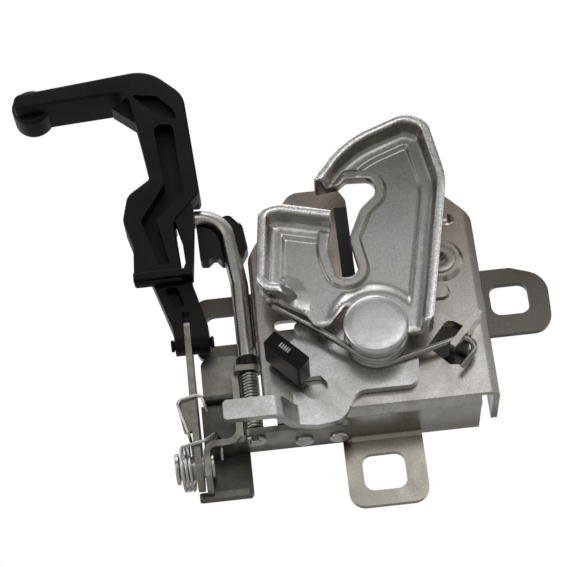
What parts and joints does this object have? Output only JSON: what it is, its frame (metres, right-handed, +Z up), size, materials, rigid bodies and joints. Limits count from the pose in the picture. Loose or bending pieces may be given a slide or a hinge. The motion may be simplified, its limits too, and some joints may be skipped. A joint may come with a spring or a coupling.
{
  "type": "bonnet release handle",
  "caption": "Bonnet latch with its pull release handle: a pressed pan with a rotary catch, sprung release lever, side bracket, pivoted grip and hooked rod.",
  "frame": {"origin": "centre of the striker when it is latched in the slot, on the plane that the three bolting tabs rest against", "axes": "+X to the right seen from the front, +Y back into the surface it is bolted to, +Z up along the striker slot"},
  "size_m": [0.1675, 0.04, 0.1535],
  "materials": {
    "main_plate": "zinc plated, satin",
    "catch": "zinc plated, satin",
    "release_lever": "zinc plated, satin",
    "side_bracket": "zinc plated, satin",
    "handle_lever": "zinc plated, satin",
    "detent_pawl": "yellow chromate",
    "main_rivet": "turned, satin",
    "spacer_bush": "turned, satin",
    "pawl_rivet": "satin",
    "bracket_rivets": "satin",
    "lever_pivot_pin": "satin",
    "handle_pin": "black oxide",
    "rod_ring": "satin",
    "hook_rod": "zinc plated, satin",
    "catch_spring": "oiled spring steel",
    "handle_return_spring": "bright spring steel",
    "rod_spring": "bright spring steel",
    "slot_lining": "matte",
    "lever_buffer": "satin",
    "pawl_cover": "gloss",
    "handle": "fine grained",
    "rod_clip": "satin",
    "rod_bush": "satin"
  },
  "bodies": {
    "frame_body": {"main_plate": "main_plate", "slot_lining": "slot_lining", "main_rivet": "main_rivet", "spacer_bush": "spacer_bush", "pawl_rivet": "pawl_rivet", "side_bracket": "side_bracket", "bracket_rivets": "bracket_rivets", "lever_pivot_pin": "lever_pivot_pin", "rod_bush": "rod_bush", "catch_spring": "catch_spring", "handle_return_spring": "handle_return_spring", "rod_spring": "rod_spring"},
    "catch_body": {"catch": "catch"},
    "lever_body": {"release_lever": "release_lever", "lever_buffer": "lever_buffer"},
    "pawl_body": {"detent_pawl": "detent_pawl", "pawl_cover": "pawl_cover"},
    "handle_body": {"handle_lever": "handle_lever", "handle": "handle", "handle_pin": "handle_pin"},
    "rod_body": {"hook_rod": "hook_rod", "rod_clip": "rod_clip", "rod_ring": "rod_ring"}
  },
  "joints": [
    {"name": "catch_turn", "type": "hinge", "parent": "frame_body", "child": "catch_body", "pos_m": [-0.0041, -0.0316, -0.0213], "axis": [0, 1, 0], "range_deg": [0, 30], "stiffness_Nm_per_rad": 1.2, "springref_deg": -20.05, "deforming": ["catch_spring"]},
    {"name": "release_turn", "type": "hinge", "parent": "frame_body", "child": "lever_body", "pos_m": [-0.0041, -0.0218, -0.0213], "axis": [0, 1, 0], "range_deg": [0, 12], "stiffness_Nm_per_rad": 0.5, "springref_deg": -17.19},
    {"name": "pawl_turn", "type": "hinge", "parent": "frame_body", "child": "pawl_body", "pos_m": [0.0191, -0.0162, 0.0056], "axis": [0, 1, 0], "range_deg": [-6, 0]},
    {"name": "handle_pull", "type": "hinge", "parent": "frame_body", "child": "handle_body", "pos_m": [-0.0614, -0.01, -0.0508], "axis": [1, 0, 0], "range_deg": [0, 18], "stiffness_Nm_per_rad": 0.25, "springref_deg": -17.19, "deforming": ["handle_return_spring"]},
    {"name": "rod_turn", "type": "hinge", "parent": "frame_body", "child": "rod_body", "pos_m": [-0.0438, -0.014, -0.0213], "axis": [0, 0, 1], "range_deg": [-25, 0], "stiffness_Nm_per_rad": 0.05, "springref_deg": 17.19, "deforming": ["rod_spring"]}
  ],
  "couplings": [
    {"joint": "pawl_turn", "follows": "release_turn", "ratio": -0.5}
  ]
}
